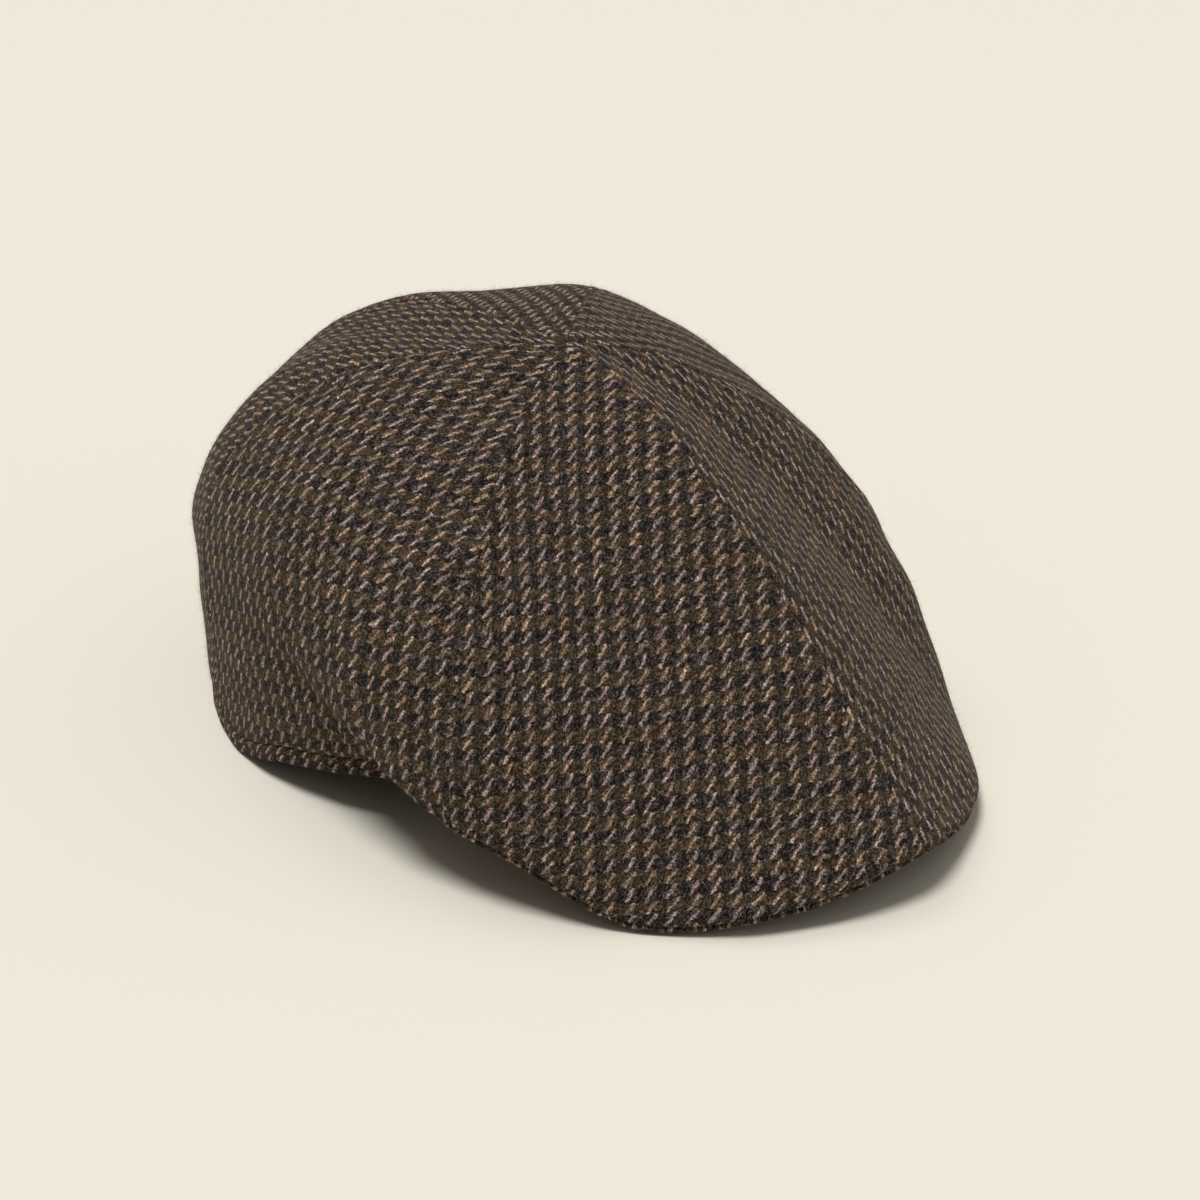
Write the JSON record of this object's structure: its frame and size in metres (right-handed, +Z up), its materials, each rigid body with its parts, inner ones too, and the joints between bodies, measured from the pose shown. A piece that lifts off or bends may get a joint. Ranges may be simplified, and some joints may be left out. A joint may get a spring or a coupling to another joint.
{
  "type": "duckbill flat cap",
  "caption": "Soft cap of sewn cloth gores that run down over an arched front peak, open below for the head.",
  "frame": {"origin": "on the surface that the cap rests on, under the middle of its bounding box", "axes": "+Z up, the cap faces -Y with its length along Y, and X = 0 is its mirror plane"},
  "size_m": [0.1924, 0.2624, 0.122],
  "materials": {
    "tweed": "brushed houndstooth wool tweed, navy and olive brown ground with tan flecks",
    "peak_cloth": "the same tweed, over a stiff peak",
    "hem_cloth": "the same tweed, turned edge"
  },
  "bodies": {
    "root": {"right_front_gore": "tweed", "left_front_gore": "tweed", "right_side_gore": "tweed", "left_side_gore": "tweed", "right_back_gore": "tweed", "left_back_gore": "tweed", "peak": "peak_cloth", "hem_band": "hem_cloth"}
  },
  "joints": []
}
